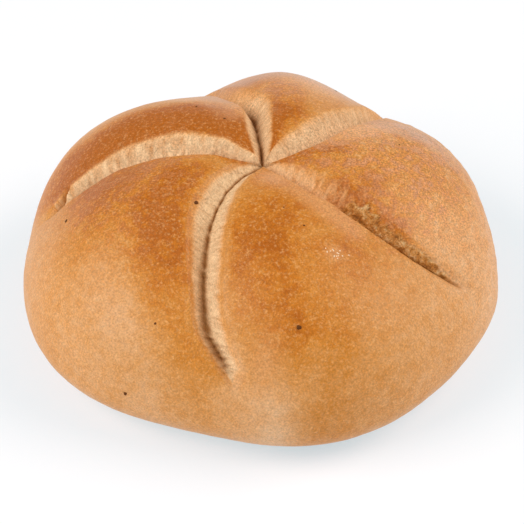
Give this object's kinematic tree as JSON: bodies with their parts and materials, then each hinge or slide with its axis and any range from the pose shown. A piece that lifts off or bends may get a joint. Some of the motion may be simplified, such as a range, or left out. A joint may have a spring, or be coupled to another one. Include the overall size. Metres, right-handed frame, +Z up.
{
  "type": "bread roll",
  "caption": "Round baked bread roll with a domed golden crust, curved grooves that swirl out from the middle of the top between puffed lobes, and a flat base.",
  "frame": {"origin": "on the surface the roll rests on, under the middle of its outline", "axes": "+Z up through the crown, +X to the roll's right seen from the front, -Y to the front, where the longest open groove runs down"},
  "size_m": [0.108, 0.1042, 0.0448],
  "materials": {
    "baked_crust": "golden brown wheat crust, satin on the lobes, dull and floury cream in the grooves"
  },
  "bodies": {
    "root": {"bread_roll": "baked_crust"}
  },
  "joints": []
}
